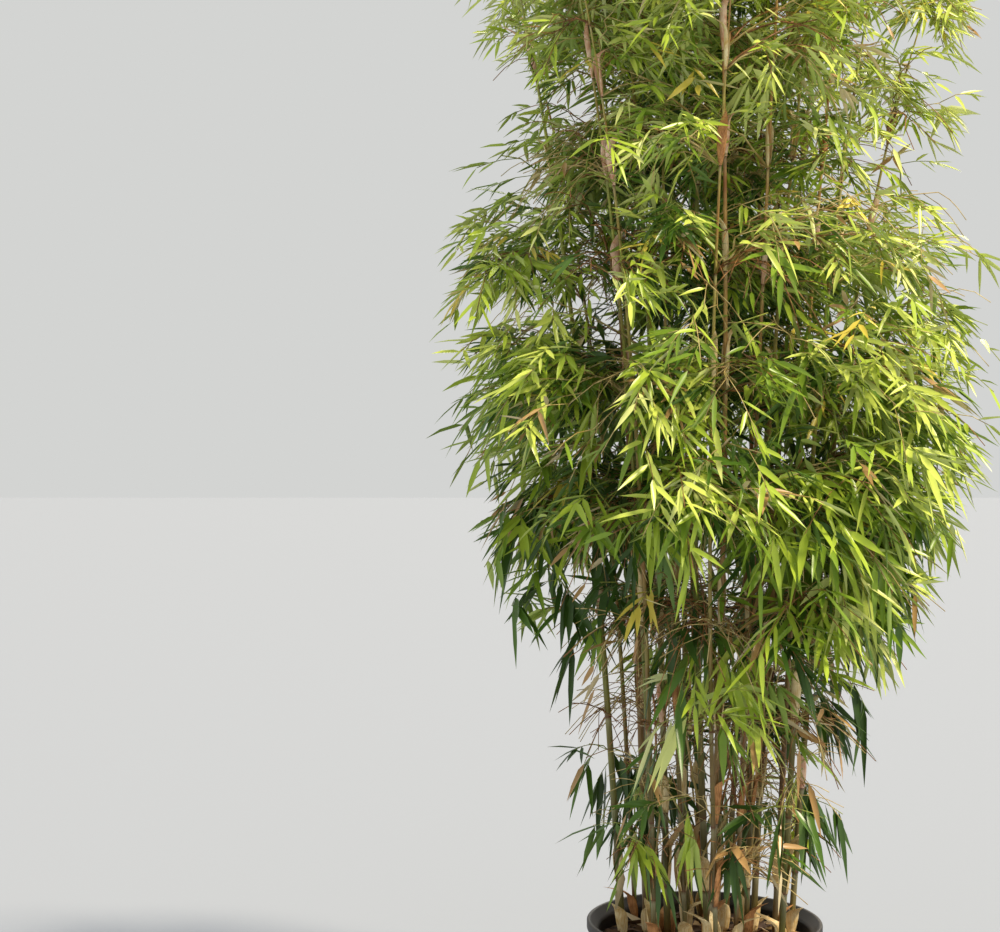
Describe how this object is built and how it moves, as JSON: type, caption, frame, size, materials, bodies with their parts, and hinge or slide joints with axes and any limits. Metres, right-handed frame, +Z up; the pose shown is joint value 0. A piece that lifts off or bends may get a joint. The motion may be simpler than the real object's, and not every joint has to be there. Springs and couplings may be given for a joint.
{
  "type": "potted clumping bamboo",
  "caption": "Tall clump of green bamboo culms with drooping leaf sprays, standing in a round black nursery pot with a rolled lip.",
  "frame": {"origin": "middle of the pot's flat underside, on the ground", "axes": "+Z up along the clump, -Y towards the side that faces the viewer in the picture, +X to the viewer's right"},
  "size_m": [1.0823, 1.1441, 2.6374],
  "materials": {
    "pot_plastic": "moulded black plastic, satin, dusty",
    "potting_mix": "moist bark potting mix",
    "culm_skin": "smooth waxy culm skin with ringed nodes",
    "foliage": "thin leaves, satin above and paler below"
  },
  "bodies": {
    "root": {"culm_01": "culm_skin", "culm_02": "culm_skin", "culm_03": "culm_skin", "culm_04": "culm_skin", "culm_05": "culm_skin", "culm_06": "culm_skin", "culm_07": "culm_skin", "culm_08": "culm_skin", "culm_09": "culm_skin", "culm_10": "culm_skin", "culm_11": "culm_skin", "culm_12": "culm_skin", "culm_13": "culm_skin", "culm_14": "culm_skin", "culm_15": "culm_skin", "culm_16": "culm_skin", "culm_17": "culm_skin", "culm_18": "culm_skin", "culm_19": "culm_skin", "culm_20": "culm_skin", "culm_21": "culm_skin", "culm_22": "culm_skin", "culm_23": "culm_skin", "culm_24": "culm_skin", "foliage_01": "foliage", "foliage_02": "foliage", "foliage_03": "foliage", "foliage_04": "foliage", "foliage_05": "foliage", "foliage_06": "foliage", "foliage_07": "foliage", "foliage_08": "foliage", "foliage_09": "foliage", "foliage_10": "foliage", "foliage_11": "foliage", "foliage_12": "foliage", "foliage_13": "foliage", "foliage_14": "foliage", "foliage_15": "foliage", "foliage_16": "foliage", "foliage_17": "foliage", "foliage_18": "foliage", "foliage_19": "foliage", "foliage_20": "foliage", "foliage_21": "foliage", "foliage_22": "foliage", "foliage_23": "foliage", "foliage_24": "foliage", "foliage_25": "foliage", "foliage_26": "foliage", "foliage_27": "foliage", "foliage_28": "foliage", "foliage_29": "foliage", "foliage_30": "foliage", "foliage_31": "foliage", "foliage_32": "foliage", "foliage_33": "foliage", "foliage_34": "foliage", "pot": "pot_plastic", "potting_mix": "potting_mix"}
  },
  "joints": []
}
